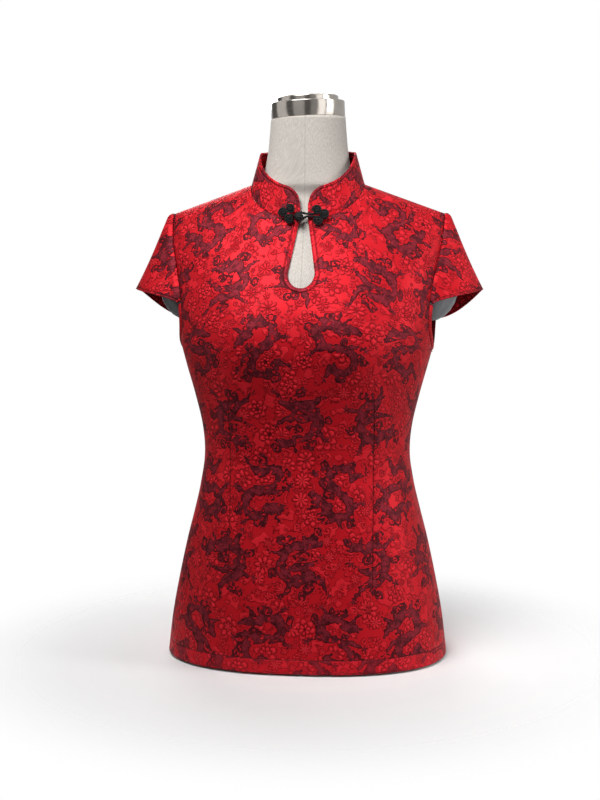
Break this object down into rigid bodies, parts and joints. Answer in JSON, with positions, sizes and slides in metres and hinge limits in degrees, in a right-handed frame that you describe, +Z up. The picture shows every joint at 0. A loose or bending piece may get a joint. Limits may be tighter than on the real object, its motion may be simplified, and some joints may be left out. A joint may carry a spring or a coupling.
{
  "type": "cheongsam top on dress form",
  "caption": "Fitted cheongsam top with standing collar, keyhole, black frog and cap sleeves, worn smooth on a limbless tabletop dress form with a steel neck cap.",
  "frame": {"origin": "on the surface that the form stands on, below the middle of the neck; the side seams lie in the plane y = 0", "axes": "+Z up, the front of the top faces -Y, the wearer's left side is at +X"},
  "size_m": [0.446, 0.2666, 0.7256],
  "materials": {
    "brocade": "red satin jacquard with raised flowers and dark maroon coils, soft sheen",
    "satin_cord": "black satin bias cord",
    "linen_cover": "light grey-beige linen stretched over the form",
    "neck_cap_steel": "turned steel, polished rim",
    "arm_plate_plastic": "smooth grey moulded plastic, semi-gloss"
  },
  "bodies": {
    "root": {"front": "brocade", "back": "brocade", "collar": "brocade", "sleeve_left": "brocade", "sleeve_right": "brocade", "armhole_binding_left": "brocade", "armhole_binding_right": "brocade", "frog_button": "satin_cord", "frog_loop": "satin_cord", "form_torso": "linen_cover", "neck_cap": "neck_cap_steel", "arm_plate_left": "arm_plate_plastic", "arm_plate_right": "arm_plate_plastic"}
  },
  "joints": []
}
